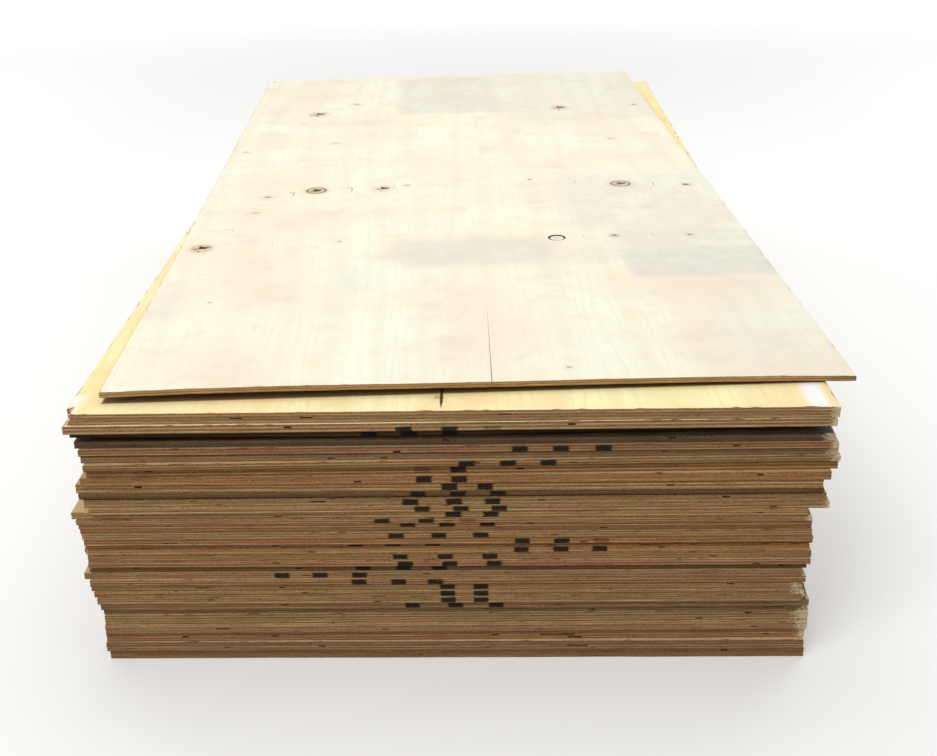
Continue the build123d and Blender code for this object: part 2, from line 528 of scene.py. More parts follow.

# %% [markdown]
# The tint is darkened at single points, and this is painted shade: in cracks and core gaps, which lie well
# inside a sheet's border, at the feet of three sheets that stand over deep joints, and on the sprung
# sheet's front end, which is dark on the right and toward its lower left. The right ends of some sheets
# are frayed and show raw wood; how far, is listed by sheet, in mm.

# %% Shade and raw wood
dark_feet = {26: 0.3, 30: 0.25, 32: 0.2}      # the share of an edge's height that the joint under it shades
foot_shade = 0.38
crack_shade = {top_sheet["number"]: 0.22, upper_sheet["number"]: 0.45}
gap_shade = 0.16
well_inside = 9 * MM
sprung_number = next(sheet["number"] for sheet in sheets if sheet["bowed"])
# painted shade on the sprung sheet's front end: how much of its tint is taken away where it is darkest
sprung_end_shade = 0.8
frayed_ends = {
    3: 22, 4: 34, 5: 44, 6: 24, 9: 40, 10: 36, 22: 18, 24: 16, 30: 26, 31: 34, 32: 22, 33: 30, 35: 18, 36: 26,
}


def shade_at(sheet, place):
    """The painted shade that the tint is multiplied by at a point"""
    x, y, up = place[0], place[1], place[2] / sheet["thickness"]
    if sheet["width"] / 2 - abs(x) > well_inside and well_inside < y < sheet["length"] - well_inside:
        return crack_shade.get(sheet["number"], gap_shade)
    # painted shade: the sprung sheet's front end goes dark on its right and toward its lower left
    if sheet["number"] == sprung_number and y < front_strip:
        right = min(1.0, max(0.0, (x + 40 * MM) / 0.2))
        left = min(1.0, max(0.0, (-x - 100 * MM) / 0.3)) * (1 - up)
        return 1 - sprung_end_shade * max(right, left)
    return foot_shade if up < dark_feet.get(sheet["number"], 0) else 1.0


def torn_at(sheet, place):
    """One on a torn corner, and a share of that near the frayed right end of a sheet"""
    if any(near_corner(sheet, place, *corner) for corner in sheet["corners"]):
        return 1.0
    from_end = sheet["width"] / 2 - place.x
    reach = frayed_ends.get(sheet["number"], 0) * MM
    return max(0.0, 1 - from_end / reach) if reach and place.y < front_strip else 0.0


print("sheet", sprung_number, "is sprung,", len(frayed_ends), "are frayed")

# %% [markdown]
# A face is painted dark, as shade, where the next sheet up lies over it. So each point also carries its
# place under that sheet, measured from its middle. Where the sheet above has lost a large front corner,
# light gets in, and its points count as lying under nothing.

# %% Paint the marks
open_corner = 50 * MM
nothing_above = 10.0


def pile_matrix(sheet):
    """Turns a place on a sheet into a place in the pile"""
    return Matrix.Translation(sheet["front"]) @ Matrix.Rotation(sheet["turn"], 4, "Z")


def places_under(sheet, places):
    """Where the points lie under the next sheet up, from its middle; far off where that one is open"""
    above = None if sheet is top_sheet else sheets[sheet["number"]]
    if above is None or any(end < 0 and along > open_corner for side, end, across, along in above["corners"]):
        return np.full(places.shape, nothing_above)
    change = np.array(pile_matrix(above).inverted() @ pile_matrix(sheet))
    return places @ change[:3, :3].T + change[:3, 3] - (0, above["length"] / 2, 0)


def paint_marks(piece, sheet):
    """Store on a finished flat sheet all that its materials read"""
    mesh, number = piece.data, sheet["number"]
    places = np.empty(len(mesh.vertices) * 3, np.float32)
    mesh.vertices.foreach_get("co", places)
    places = places.reshape(-1, 3)
    # painted shade: the stored tint is the sheet's tint times the painted shade from shade_at
    tint = np.array(linear(tint_of_sheet[number]))
    store(
        piece, "POINT", board=places, above=places_under(sheet, places),
        layer=places[:, 2] * veneers_in(sheet["thickness"]) / sheet["thickness"],
        off_bar=[bar_distance(sheet, place) for place in places],
        bar_ink=[bar_strength(sheet, place) for place in places],
        share_up=places[:, 2] / sheet["thickness"] + low_bars.get(number, 0),
        torn=[torn_at(sheet, vertex.co) for vertex in mesh.vertices],
        sheet_number=np.full(len(mesh.vertices), number),
        tint=[tint * shade_at(sheet, place) for place in places])
    store(piece, "FACE", long_side=[abs(face.normal.x) > 0.7 for face in mesh.polygons])


# %% [markdown]
# ## Wander, fuzz and chips
# The saw wanders, the fibres stand up, and the sharp corner between face and edge chips. Each is a
# Displace modifier on the points of one edge, applied at once. Their patterns come from cloud
# textures in real millimetres. They read the sheet's place in the pile, so no two sheets match.

# %% Three kinds of roughness
saw_wander_depth = 0.9 * MM
fibre_height = 0.5 * MM
chip_depth = 3.0 * MM
top_chip_depth = 1.4 * MM


def clouds(name, size, only_peaks=False):
    """A cloud texture with blobs of this size; with only_peaks just its highest parts count"""
    texture = bpy.data.textures.new(name, "CLOUDS")
    texture.noise_scale = size
    texture.noise_depth = 1
    if only_peaks:
        texture.use_color_ramp = True
        low, high = texture.color_ramp.elements
        low.color, high.color = (0, 0, 0, 1), (1, 1, 1, 1)
        low.position, high.position = 0.60, 0.74
    return texture


saw_wander = clouds("saw wander", 90 * MM)
raised_fibres = clouds("raised fibres", 3.5 * MM)
arris_chips = clouds("arris chips", 16 * MM, only_peaks=True)


def roughen(piece, group, axis, texture, strength, middle):
    """Move the points of a group along one axis by a texture"""
    change = piece.modifiers.new(texture.name, "DISPLACE")
    change.texture, change.texture_coords = texture, "LOCAL"
    change.direction, change.vertex_group = axis, group
    change.strength, change.mid_level = strength, middle
    bpy.ops.object.modifier_apply(modifier=change.name)


def mark_groups(piece, sheet):
    """Name the points of each edge, and the chamfered ones among them, for the modifiers"""
    points = piece.data.vertices
    reach = saw_loss + most_shy + arris + 0.2 * MM
    for edge in edges_of_sheet:
        body = [point.index for point in points if on_edge(sheet, point.co, edge, reach)]
        rim = [index for index in body if not arris / 2 < points[index].co.z < sheet["thickness"] - arris / 2]
        piece.vertex_groups.new(name=edge).add(body, 1.0, "REPLACE")
        piece.vertex_groups.new(name=edge + " rim").add(rim, 1.0, "REPLACE")


def roughen_edges(piece, chips):
    """Give all four edges their wander, fuzz and chips"""
    take_in_hand(piece)
    for edge, (axis, far) in edges_of_sheet.items():
        way = "Y" if axis == 1 else "X"
        roughen(piece, edge, way, saw_wander, saw_wander_depth, 0.5)
        roughen(piece, edge, way, raised_fibres, fibre_height, 0.5)
        roughen(piece, edge + " rim", way, arris_chips, chips * (1 - 2 * far), 0.0)
    piece.vertex_groups.clear()


# %% [markdown]
# ## Into the pile
# A finished sheet is turned and moved to its slab's place, and the move is then applied, so that the
# object itself stays at the origin. The two bowed sheets are draped first: each point is raised by
# what the slab's underside rises above its seat there. Over a broken corner there is no underside, so
# the point is drawn toward the middle until there is.

# %% Place and drape
shares_tried = (0.999, 0.99, 0.97, 0.94, 0.9)


def rise_of_slab(sheet, across, along):
    """How far the slab's underside is above its lowest level at a place on the sheet"""
    middle = Vector((0, sheet["length"] / 2, 0))
    local = Vector((across, along, 0))
    to_pile = pile_matrix(sheet)
    for share in shares_tried:
        below = to_pile @ (middle + (local - middle) * share) - UP
        hit = sheet["surface"].ray_cast(below, UP)[0]
        if hit is not None:
            return hit.z - sheet["front"].z
    return 0.0


def drape(piece, sheet):
    """Bend a flat sheet to its slab's curve"""
    rises = {}
    for vertex in piece.data.vertices:
        key = (round(vertex.co.x, 3), round(vertex.co.y, 3))
        if key not in rises:
            rises[key] = rise_of_slab(sheet, *key)
        vertex.co.z += rises[key]


def put_in_pile(piece, sheet):
    """Turn and move a sheet to its slab's place and leave its object at the origin"""
    take_in_hand(piece)
    piece.rotation_euler.z = sheet["turn"]
    piece.location = sheet["front"]
    bpy.ops.object.transform_apply(location=True, rotation=True, scale=True)


rise = rise_of_slab(top_sheet, -top_sheet["width"] / 2, 0)
print("the top sheet's front left corner stands", round(rise / MM, 1), "mm high")

# %% [markdown]
# ## The faces that show
# The top sheet's face is the one that is seen whole, and a strip of the sheet below it shows at the
# front. Their knots are where they are on the real sheets: across from the middle and along from the
# front edge, in mm, then the knot's radius, how dark it is, how strong its ring is, and how ragged.
# The mesh round each knot of the top sheet is divided finer; its ring is raised and its pith is sunk.

# %% The knots
knot_ring_height = 0.35 * MM
knot_pith_depth = 0.9 * MM
face_layer = 0.1 * MM     # points this near the upper face's height belong to it
top_knots = [
    (-403, 1927, 28, 0.90, 0.0, 1.0), (-296, 2047, 17, 0.35, 0.0, 0.6), (330, 1936, 26, 0.90, 0.0, 1.0),
    (560, 1950, 13, 0.50, 0.0, 0.6), (-572, 1500, 16, 0.30, 0.0, 0.8), (-332, 1575, 20, 0.28, 0.0, 0.8),
    (-350, 1121, 26, 1.00, 1.0, 0.3), (-187, 1124, 21, 0.95, 0.0, 1.0), (-131, 1145, 14, 0.35, 0.0, 0.8),
    (174, 1170, 9, 0.60, 0.0, 0.5), (393, 1117, 26, 0.85, 0.9, 0.4), (549, 1094, 14, 0.75, 0.0, 0.7),
    (-464, 1074, 16, 0.50, 0.0, 0.5), (-480, 950, 22, 0.25, 0.0, 0.8), (-562, 713, 23, 1.00, 0.4, 0.9),
    (-271, 734, 7, 0.50, 0.0, 0.4), (-494, 389, 6, 0.40, 0.0, 0.4), (321, 728, 12, 0.65, 0.3, 0.5),
    (483, 722, 11, 0.50, 0.0, 0.5), (431, 1552, 16, 0.25, 0.0, 0.8), (146, 50, 8, 0.40, 0.0, 0.8),
    (196, 720, 15, 0.16, 0.0, 0.0),
]
upper_knots = [(-21, 46, 13, 0.40, 0.0, 1.0)]
knots_of = {top_sheet["number"]: top_knots, upper_sheet["number"]: upper_knots}


def nearest_knot(sheet, place):
    """The knot closest to a place on a sheet, and the way from its middle, in metres"""
    ways = [(place[0] - knot[0] * MM, place[1] - knot[1] * MM, knot) for knot in knots_of[sheet["number"]]]
    across, along, knot = min(ways, key=lambda way: way[0] ** 2 + way[1] ** 2)
    return knot, (across, along)


def divide_round_knots(piece, sheet):
    """Finer faces round each knot"""
    def wanted(face):
        knot, way = nearest_knot(sheet, face.center)
        on_face = face.center.z > sheet["thickness"] - face_layer
        return on_face and math.hypot(*way) < knot[2] * MM * 1.5 + 6 * MM

    pick(piece, "polygons", wanted)
    bpy.ops.mesh.subdivide(number_cuts=3)
    go_to("OBJECT")


def shape_knots(piece, sheet):
    """Raise each knot's ring a little and sink its pith"""
    for vertex in piece.data.vertices:
        if vertex.co.z > sheet["thickness"] - face_layer:
            knot, way = nearest_knot(sheet, vertex.co)
            off = math.hypot(*way) / (knot[2] * MM)
            ring = math.exp(-((off - 0.75) / 0.25) ** 2) * knot_ring_height
            pith = math.exp(-(off / 0.35) ** 2) * knot_pith_depth * knot[3]
            vertex.co.z += (ring - pith) * min(1.0, knot[3] + 0.2)


print({f"sheet {number}": len(knots) for number, knots in knots_of.items()}, "knots")

# %% [markdown]
# A loose knot has left a crescent-shaped hole, and a check runs back from the front edge. Both go
# through one face veneer of the slab. They are read from the slab's upright faces that lie inside its
# border, and cut with a Boolean: the crescent's cutter is a disc less a smaller disc, and the check's
# cutter is a wedge that runs out to nothing.

# %% Read the crescent and the check
crack_share = 0.45        # the dressed crack is this much as wide as the slab's
face_veneer = 2 * MM


def walls_inside(sheet, low, high):
    """The points of all upright faces well inside the border, between two distances from the front"""
    found = []
    for face in frame["nodes"][sheet["name"]].data.polygons:
        corners = [sheet["points"][index] for index in face.vertices]
        across, along = (sum(corner[axis] for corner in corners) / len(corners) for axis in (0, 1))
        if abs(face.normal.z) < 0.3 and abs(across) < 0.4 * sheet["width"] and low < along < high:
            found += corners
    return found


def span(points, axis):
    """The lowest and the highest of the points along one axis"""
    values = [point[axis] for point in points]
    return min(values), max(values)


crack = walls_inside(top_sheet, 20 * MM, 450 * MM)
crack_tip = max(crack, key=lambda point: point[1])
crack_mouth = [point for point in crack if point[1] < MM]
crack_across = sum(point[0] for point in crack_mouth) / len(crack_mouth)
crack_left, crack_right = span(crack_mouth, 0)
rim = walls_inside(top_sheet, 500 * MM, 0.6 * top_sheet["length"])
rim_left, rim_right = span(rim, 0)
hole_radius = (rim_right - rim_left) / 2
hole_middle = Vector((rim_left + hole_radius, span(rim, 1)[1] - hole_radius, 0))
print("knot hole at", [round(v / MM) for v in hole_middle.xy], "mm, crack", round(crack_tip[1] / MM), "mm long")

# %% Shape the cutters
core_share = 0.76
core_shift_share = 0.18
crack_tip_share = 0.05    # how much of the crack's width is left at its tip


def take_away(piece, cutter):
    """Cut one shape out of another and clear the cutter away"""
    nothing_selected()
    bpy.context.view_layer.objects.active = piece
    cut = piece.modifiers.new("cut", "BOOLEAN")
    cut.operation, cut.solver, cut.object = "DIFFERENCE", "EXACT", cutter
    bpy.ops.object.modifier_apply(modifier=cut.name)
    bpy.data.objects.remove(cutter)


def crescent_cutter(height):
    """A disc with a smaller disc taken out near its front side"""
    discs = []
    for share, shift, depth in ((1, 0, 1), (core_share, -core_shift_share * hole_radius, 2)):
        nothing_selected()
        bpy.ops.mesh.primitive_cylinder_add(
            vertices=48, radius=share * hole_radius, depth=2 * face_veneer * depth,
            location=hole_middle + Vector((0, shift, height)))
        bpy.ops.object.transform_apply(location=True, rotation=True, scale=True)
        discs.append(bpy.context.active_object)
    take_away(discs[0], discs[1])
    return discs[0]


def long_cutter(add_shape, stretch, move, **options):
    """A primitive, drawn out to its size and moved to its place in edit mode"""
    nothing_selected()
    add_shape(location=(0, 0, 0), **options)
    cutter = bpy.context.active_object
    go_to("EDIT")
    bpy.ops.transform.resize(value=stretch)
    bpy.ops.transform.translate(value=move)
    go_to("OBJECT")
    return cutter


def check_cutter(height):
    """A long wedge, wide at the front edge and pointed at its far end"""
    size = ((crack_right - crack_left) * crack_share, crack_tip[1], 2 * face_veneer)
    place = (crack_across, crack_tip[1] / 2 - face_veneer, height)
    wedge = long_cutter(bpy.ops.mesh.primitive_cube_add, size, place, size=1)
    pick(wedge, "vertices", lambda vertex: vertex.co.y > crack_tip[1] / 2)
    bpy.ops.transform.resize(value=(crack_tip_share, 1, 1), center_override=(crack_across, 0, 0))
    bpy.ops.transform.translate(value=(crack_tip[0] - crack_across, 0, 0))
    go_to("OBJECT")
    return wedge


# %% [markdown]
# The sheet below has a short crack too, open in its middle and closed at both ends. Its cutter is a
# cylinder with six sides, squeezed until it is long and thin.

# %% Shape the short crack's cutter
short_crack_middle = (-15 * MM, 56 * MM)
short_crack_half = (2.8 * MM, 46 * MM)


def short_crack_cutter(height):
    """A long thin hexagon that goes through one face veneer"""
    size, place = (*short_crack_half, 1), (*short_crack_middle, height)
    return long_cutter(
        bpy.ops.mesh.primitive_cylinder_add, size, place, vertices=6, radius=1, depth=2 * face_veneer)


# %% [markdown]
# ## Stains
# Bands and patches of the top sheet's face have gone grey, with fairly straight borders where
# something lay on it. Each is a reach across, a reach along, a depth and the width of its border. On
# the sheet below, two ends of the strip that shows are nearly white. How strong the stain is, is stored
# on the points, as one would paint it with a soft brush. Noise makes its borders wobble a little.

# %% Stains and the way from the nearest knot
top_stains = [
    ((-163, 161), (1900, 2400), 0.50, 36), ((161, 640), (1780, 2438), 0.34, 60),
    ((-148, 186), (565, 731), 0.52, 40), ((316, 640), (470, 650), 0.78, 24),
    ((316, 640), (600, 780), 0.45, 60), ((120, 340), (560, 650), 0.34, 50),
    ((230, 640), (773, 1200), 0.32, 60), ((420, 640), (0, 470), 0.18, 60),
    ((-620, -540), (300, 470), 0.22, 40), ((-250, -190), (430, 560), 0.30, 40),
]
upper_stains = [((566, 600), (-20, 110), 1.0, 8), ((-640, -590), (-20, 70), 0.8, 12)]
stains_of = {top_sheet["number"]: top_stains, upper_sheet["number"]: upper_stains}
border_wobble = 14 * MM


def soft_band(value, low, high, border):
    """One between two limits, falling off over a border of this width at them"""
    inside = min(value / MM - low, high - value / MM)
    return max(0.0, min(1.0, 0.5 + inside / border))


def paint_face_marks(piece, sheet):
    """Store the stains and the knots on the points of a sheet whose face shows"""
    stained, ways, sizes, looks = [], [], [], []
    for vertex in piece.data.vertices:
        u, v = vertex.co.x, vertex.co.y
        wobble = border_wobble * noise.noise(Vector((u * 9, v * 9, 0.3)))
        stained.append(max(
            depth * soft_band(u + wobble, *across, border) * soft_band(v + wobble * 0.5, *along, border)
            for across, along, depth, border in stains_of[sheet["number"]]))
        knot, way = nearest_knot(sheet, vertex.co)
        ways.append((way[0], way[1], 0))
        sizes.append(knot[2] * MM)
        looks.append((knot[3], knot[4], knot[5]))
    store(piece, "POINT", stained=stained, from_knot=ways, knot_radius=sizes, knot_look=looks)


print(len(top_stains), "stains on the top sheet and", len(upper_stains), "on the one below")

# %% [markdown]
# ## Make all the sheets
# Now every cell above is used thirty-seven times. The two bowed sheets and the two whose knots show
# take the grid, the others the bare outline. Cuts, torn corners and paint come while a sheet still
# lies flat.

# %% Dress the pile
smooth_below = math.radians(32)


def dress(sheet):
    """One finished sheet, turned and moved to its place in the pile"""
    piece = first_face(sheet, as_grid=sheet["bowed"] or sheet["number"] in knots_of)
    build_veneers(piece, sheet)
    if sheet is top_sheet:
        divide_round_knots(piece, sheet)
        take_away(piece, crescent_cutter(sheet["thickness"]))
        take_away(piece, check_cutter(sheet["thickness"]))
    else:
        open_gaps(piece, sheet)
    if sheet is upper_sheet:
        take_away(piece, short_crack_cutter(sheet["thickness"]))
    for corner in sheet["corners"]:
        tear_corner(piece, sheet, *corner)
    paint_marks(piece, sheet)
    if sheet["number"] in knots_of:
        paint_face_marks(piece, sheet)
    if sheet is top_sheet:
        shape_knots(piece, sheet)
    mark_groups(piece, sheet)
    if sheet["bowed"]:
        drape(piece, sheet)
    put_in_pile(piece, sheet)
    roughen_edges(piece, top_chip_depth if sheet is top_sheet else chip_depth)
    bpy.ops.object.shade_smooth_by_angle(angle=smooth_below)
    return piece


pieces = {sheet["number"]: dress(sheet) for sheet in sheets}
faces = sum(len(piece.data.polygons) for piece in pieces.values())
print(len(pieces), "dressed sheets,", faces, "faces")

# %% [markdown]
# ## Wood, from nodes
# One function adds a node. Values go to its first sockets in order, or by name where they come in a
# dictionary, and a whole node stands for its first output; the kind may name an operation too. The
# other functions are what the woods below have in common: the stops of a colour ramp, how far a value
# is from another, a paint laid over a colour, and last relief and a dry, dull shine.

# %% Node helpers
def add(tree, kind, *values, **settings):
    """One shader node with its settings, its values and its links"""
    kind, _, operation = kind.partition(" ")
    made = tree.nodes.new("ShaderNode" + kind)
    if operation:
        made.operation = operation
    for name, value in settings.items():
        setattr(made, name, value)
    by_socket = {}
    for place, value in enumerate(values):
        by_socket.update(value if isinstance(value, dict) else {place: value})
    for socket, value in by_socket.items():
        if isinstance(value, bpy.types.Node):
            value = value.outputs[0]
        if isinstance(value, bpy.types.NodeSocket):
            tree.links.new(value, made.inputs[socket])
        else:
            made.inputs[socket].default_value = value
    return made


def fill_ramp(ramp, stops):
    """Give a colour ramp its stops, as pairs of place and colour code"""
    elements = ramp.color_ramp.elements
    while len(elements) < len(stops):
        elements.new(0.5)
    for element, (place, code) in zip(elements, stops):
        element.position = place
        element.color = linear(code)
    return ramp


def off_by(tree, value, middle):
    """How far a value is from this middle, on either side"""
    return add(tree, "Math ABSOLUTE", add(tree, "Math SUBTRACT", value, middle))


def lay_over(tree, colour, code, *shares):
    """A paint over a colour, as much of it as the shares come to when they are multiplied"""
    amount = shares[0]
    for share in shares[1:]:
        amount = add(tree, "Math MULTIPLY", amount, share)
    return add(tree, "MixRGB", amount, colour, linear(code))


def start_material(name):
    """A new material and the tree that its nodes go in"""
    material = bpy.data.materials.new(name)
    material.use_nodes = True
    return material, material.node_tree


def finish_wood(tree, colour, relief, strength, height, roughness, gloss):
    """Put colour, relief and shine on the material's own shader"""
    bump = add(tree, "Bump", {"Strength": strength, "Distance": height, "Height": relief})
    shader = tree.nodes["Principled BSDF"]
    tree.links.new(colour.outputs[0], shader.inputs["Base Color"])
    tree.links.new(bump.outputs[0], shader.inputs["Normal"])
    shader.inputs["Roughness"].default_value = roughness
    shader.inputs["Specular IOR Level"].default_value = gloss


# %% [markdown]
# ## The sawn edge
# Seen from the front, the face veneers show end grain, which is dark and speckled, and the crossed
# veneers between show long grain, which is paler and streaked. On the long sides it is the other way
# round. So the first step is to work out, at each point of an edge, how far along it lies, which
# veneer it is on, and whether that veneer shows its grain end on.
#
# Streaks, specks, mottles and dashes are all one noise, drawn out along the edge to different lengths.
# Real streaks are a few tenths of a millimetre high; they are drawn about a millimetre high here, so
# that they show. Every veneer came off another log, so each has a seed of its own.

# %% Read the edge
streak_length = 70 * MM
speck_length = 5 * MM
mottle_length = 50 * MM
blotch_length = 190 * MM
dash_length = 1 / 38      # in metres, so about 26 mm


def read_edge(tree):
    """The values stored on an edge, and what follows from them, by name"""
    names = ("layer", "long_side", "sheet_number", "torn", "off_bar", "bar_ink", "share_up")
    edge = {name: add(tree, "Attribute", attribute_name=name).outputs["Fac"] for name in names}
    board = add(tree, "SeparateXYZ", add(tree, "Attribute", attribute_name="board").outputs["Vector"]).outputs
    edge["run"] = add(tree, "Mix", {0: edge["long_side"], 2: board["X"], 3: board["Y"]})
    ply = add(tree, "Math FLOOR", edge["layer"])
    crossed = add(tree, "Math MODULO", ply, 2.0)
    edge["end_on"] = off_by(tree, add(tree, "Math ADD", crossed, edge["long_side"]), 1.0)
    edge["seed"] = add(tree, "Math MULTIPLY_ADD", edge["sheet_number"], 17.0, ply)
    return edge


def edge_noise(tree, edge, length, rise=1.0, slant=0.0, **look):
    """Noise with blobs of this length, which changes by rise, and slants, from veneer to veneer"""
    run = add(tree, "Math MULTIPLY", edge["run"], 1 / length)
    run = add(tree, "Math MULTIPLY_ADD", edge["layer"], slant, run)
    up = add(tree, "Math MULTIPLY", edge["layer"], rise)
    place = add(tree, "CombineXYZ", run, up, edge["seed"])
    return add(tree, "TexNoise", {"Vector": place, "Scale": 1.0, **look})


# %% Each veneer's own wood
def veneer_wood(tree, edge, streaks, specks, long_grain, end_grain):
    """Long grain or end grain, each veneer with a lightness and a warmth of its own"""
    long_colour = fill_ramp(add(tree, "ValToRGB", streaks), long_grain)
    end_colour = fill_ramp(add(tree, "ValToRGB", specks), end_grain)
    wood = add(tree, "MixRGB", edge["end_on"], long_colour, end_colour)
    own = add(tree, "TexWhiteNoise", {"W": edge["seed"]}, noise_dimensions="1D").outputs
    slow_run = add(tree, "Math MULTIPLY", edge["run"], 1 / blotch_length)
    slow_place = add(tree, "CombineXYZ", slow_run, edge["seed"])
    slow = add(tree, "TexNoise", {"Vector": slow_place, "Scale": 1.0, "Detail": 2.0})
    lightness = add(tree, "MapRange", own["Value"], 0.0, 1.0, 0.72, 1.20)
    drift = add(tree, "MapRange", slow, 0.3, 0.7, 0.80, 1.16)
    value = add(tree, "Math MULTIPLY", lightness, drift)
    warmth = add(tree, "MapRange", own["Color"], 0.0, 1.0, 0.485, 0.51)
    toned = add(tree, "HueSaturation", {"Hue": warmth, "Value": value, "Color": wood})
    mottle = edge_noise(tree, edge, mottle_length, Scale=0.8, Detail=3.0)
    rosy = fill_ramp(add(tree, "ValToRGB", mottle), [(0.36, "#F2D9CB"), (0.5, "#F3EBDF"), (0.64, "#EFF0DC")])
    return add(tree, "MixRGB", 1.0, toned, rosy, blend_type="MULTIPLY")


# %% [markdown]
# Over the wood lies the glue, a dark thread between two veneers, darker where it squeezed out. Small gaps
# in the core show as short dark dashes of painted shade. Torn wood is fresh and paler than the weathered
# saw cut; near a frayed end the noise decides, point by point, which fibres are torn. Last come the
# stencilled bars, whose ink bleeds a little into the fibres.

# %% Glue, dirt, torn wood and ink
bar_half_width = 13 * MM
bar_blur = 1.5 * MM
ink_bleed = 4 * MM


def glue_and_gap_shade(tree, edge, streaks, colour):
    """A thread where the height, counted in veneers, comes to a whole number, and then dashes of painted shade
    """
    off_middle = off_by(tree, add(tree, "Math FRACT", edge["layer"]), 0.5)
    line = add(tree, "MapRange", off_middle, 0.36, 0.48, 0.0, 0.74)
    squeezed = add(tree, "MapRange", streaks, 0.35, 0.6, 0.45, 1.0)
    colour = lay_over(tree, colour, "#4A2D18", line, squeezed)
    # painted shade: short dark dashes where small gaps open in the core
    gap_dashes = edge_noise(tree, edge, dash_length, Detail=1.0)
    return lay_over(tree, colour, "#3A2214", add(tree, "MapRange", gap_dashes, 0.70, 0.78, 0.0, 0.75))


def raw_where_torn(tree, edge, specks, colour):
    """Raw wood on torn corners, and raggedly near frayed ends"""
    raw = fill_ramp(add(tree, "ValToRGB", specks), [(0.3, "#CBA775"), (0.62, "#F8E6C0")])
    uneven = add(tree, "MapRange", specks, 0.35, 0.65, -0.35, 0.35)
    split = add(tree, "Math ADD", edge["torn"], uneven)
    return add(tree, "MixRGB", add(tree, "MapRange", split, 0.40, 0.62, 0.0, 1.0), colour, raw)


def stencil_bars(tree, edge, streaks, specks, colour):
    """Ink within a bar's width along the edge and within most of the edge's height"""
    bleed = add(tree, "MapRange", specks, 0.2, 0.8, -ink_bleed, ink_bleed)
    ragged = add(tree, "Math ADD", edge["off_bar"], bleed)
    inner, outer = bar_half_width - bar_blur, bar_half_width + bar_blur
    within_width = add(tree, "MapRange", ragged, inner, outer, 0.95, 0.0)
    feather = add(tree, "MapRange", streaks, 0.3, 0.7, -0.12, 0.12)
    feathered = add(tree, "Math ADD", off_by(tree, edge["share_up"], 0.5), feather)
    within_height = add(tree, "MapRange", feathered, 0.34, 0.46, 1.0, 0.0)
    return lay_over(tree, colour, "#15130F", within_width, within_height, edge["bar_ink"])


# %% [markdown]
# One over the other, these make the edge. Its glue is dark phenolic resin, and it is left as the saw
# leaves it: rough, dry and matt.

# %% Sawn plywood edge
def sawn_edge(name, long_grain, end_grain):
    """Softwood plywood, seen on its sawn edge"""
    material, tree = start_material(name)
    edge = read_edge(tree)
    streaks = edge_noise(tree, edge, streak_length, rise=2.2, Detail=4.0, Roughness=0.62)
    specks = edge_noise(tree, edge, speck_length, rise=1.8, slant=1.4, Detail=3.0, Roughness=0.6)
    colour = veneer_wood(tree, edge, streaks, specks, long_grain, end_grain)
    colour = glue_and_gap_shade(tree, edge, streaks, colour)
    # the stored tint carries the painted shade as well as the sheet's own tint
    tint = add(tree, "Attribute", attribute_name="tint").outputs["Color"]
    colour = add(tree, "MixRGB", 1.0, colour, tint, blend_type="MULTIPLY")
    colour = raw_where_torn(tree, edge, specks, colour)
    colour = stencil_bars(tree, edge, streaks, specks, colour)
    relief = add(tree, "MixRGB", edge["end_on"], streaks, specks)
    finish_wood(tree, colour, relief, strength=0.5, height=0.4 * MM, roughness=0.86, gloss=0.25)
    return material


long_stops = [(0.25, "#8D6D4D"), (0.42, "#C6A57D"), (0.58, "#E6CA9F"), (0.75, "#FAE8C4")]
end_stops = [(0.30, "#80634A"), (0.48, "#B5926C"), (0.66, "#DAB990")]
plain_edge = sawn_edge("sawn softwood plywood edge", long_stops, end_stops)
print(plain_edge.name, "is made of", len(plain_edge.node_tree.nodes), "nodes")

# %% [markdown]
# ## The rotary-cut face
# A face veneer is peeled off a turning log like paper off a roll, so its growth rings show as wide
# wavy bands that run with the sheet and wander. Two wave textures in the sheet's own measures draw
# them: broad bands, and between these thin lines of dense late wood. Both are drawn out along the
# sheet and bent. Before it is bent, a wave repeats after pi / 10 of its spread: 92 mm for the bands
# and 18 mm for the lines.

# %% Peeled grain
band_spread = 292.5 * MM
line_spread = 58.5 * MM
grain_drawn_out = (1.0, 0.11, 1.0)
fibres_drawn_out = (1.0, 0.03, 1.0)


def peeled_grain(tree, place, palest, middle, line, contrast):
    """Bands and lines over a base of two pale tones"""
    place = add(tree, "Mapping", {0: place, "Scale": grain_drawn_out})
    wave = {"Vector": place, "Scale": 1 / band_spread, "Distortion": 9.0, "Detail": 2.0, "Detail Scale": 1.4}
    broad = add(tree, "TexWave", wave, bands_direction="X").outputs["Fac"]
    wave |= {"Scale": 1 / line_spread, "Distortion": 14.0, "Detail": 3.0, "Detail Scale": 0.7}
    fine = add(tree, "TexWave", wave, bands_direction="X", wave_profile="SAW").outputs["Fac"]
    patchy = add(tree, "TexNoise", {"Vector": place, "Scale": 5.0, "Detail": 3.0})
    base = add(tree, "MixRGB", patchy, linear(palest), linear(middle))
    banded = add(tree, "MapRange", broad, 0.55, 1.0, 0.0, contrast)
    lined = add(tree, "MapRange", fine, 0.6, 1.0, 0.0, contrast)
    return lay_over(tree, base, line, add(tree, "Math MAXIMUM", banded, lined))


